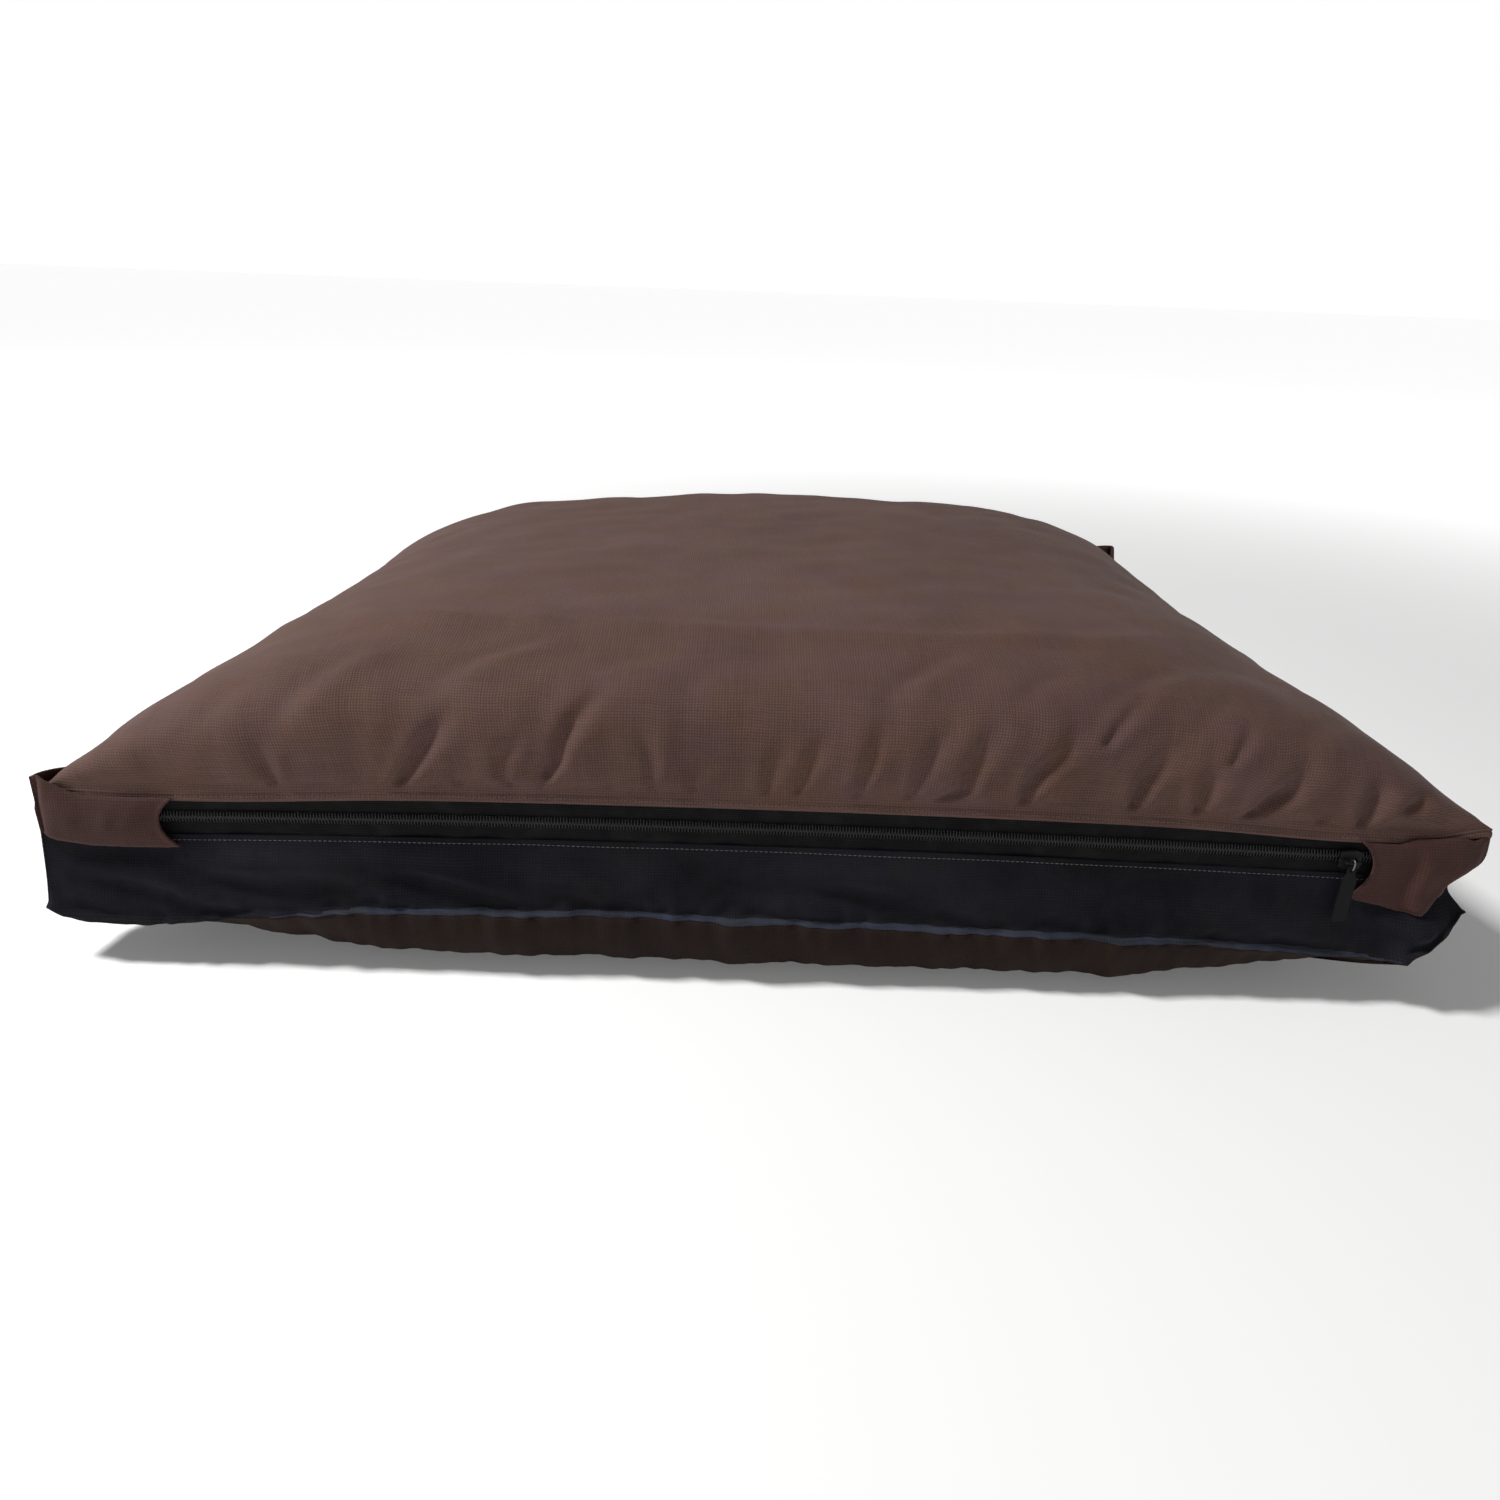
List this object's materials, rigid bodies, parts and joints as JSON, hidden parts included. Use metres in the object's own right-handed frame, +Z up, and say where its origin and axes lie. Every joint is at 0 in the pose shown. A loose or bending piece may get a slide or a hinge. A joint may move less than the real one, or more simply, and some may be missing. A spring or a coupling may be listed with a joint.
{
  "type": "pet cushion bed",
  "caption": "Thick boxed pet cushion bed: woven brown cover with a black gusset, a zip along the front edge and a fibre-filled inner cushion.",
  "frame": {"origin": "centre of the footprint on the floor, midway between the corners of the cover", "axes": "+X to the right along the zip, +Y from the zip to the back, +Z up"},
  "size_m": [0.75, 0.6477, 0.1789],
  "materials": {
    "brown_fabric": "matte",
    "brown_fabric_under": "matte",
    "black_fabric": "matte",
    "zip_tape": "matte",
    "zip_coil": "satin",
    "slider_metal": "satin",
    "ring_metal": "satin",
    "pull_metal": "satin",
    "brown_thread": "matte",
    "grey_thread": "matte",
    "liner_fabric": "matte",
    "fibre": "matte"
  },
  "bodies": {
    "cushion": {"top_panel": "brown_fabric", "bottom_panel": "brown_fabric_under", "left_band": "brown_fabric", "right_band": "brown_fabric", "back_band": "brown_fabric", "front_gusset": "black_fabric", "left_gusset": "black_fabric", "right_gusset": "black_fabric", "back_gusset": "black_fabric", "zip_tape_upper": "zip_tape", "zip_tape_lower": "zip_tape", "zip_coil_upper": "zip_coil", "zip_coil_lower": "zip_coil", "hem_stitching": "brown_thread", "gusset_stitching": "grey_thread", "liner_top": "liner_fabric", "liner_bottom": "liner_fabric", "fibre_fill": "fibre"},
    "slider": {"zip_slider": "slider_metal"},
    "pull_ring": {"zip_pull_ring": "ring_metal"},
    "pull_tab": {"zip_pull_tab": "pull_metal"}
  },
  "joints": [
    {"name": "zip_slide", "type": "slide", "parent": "cushion", "child": "slider", "axis": [-1, 0, 0], "range_m": [0, 0.606]},
    {"name": "pull_lift", "type": "hinge", "parent": "slider", "child": "pull_ring", "pos_m": [0.303, -0.3257, 0.0864], "axis": [-1, 0, 0], "range_deg": [0, 150]},
    {"name": "pull_swing", "type": "hinge", "parent": "pull_ring", "child": "pull_tab", "pos_m": [0.303, -0.3257, 0.0824], "axis": [0, 1, 0], "range_deg": [-75, 75]}
  ]
}
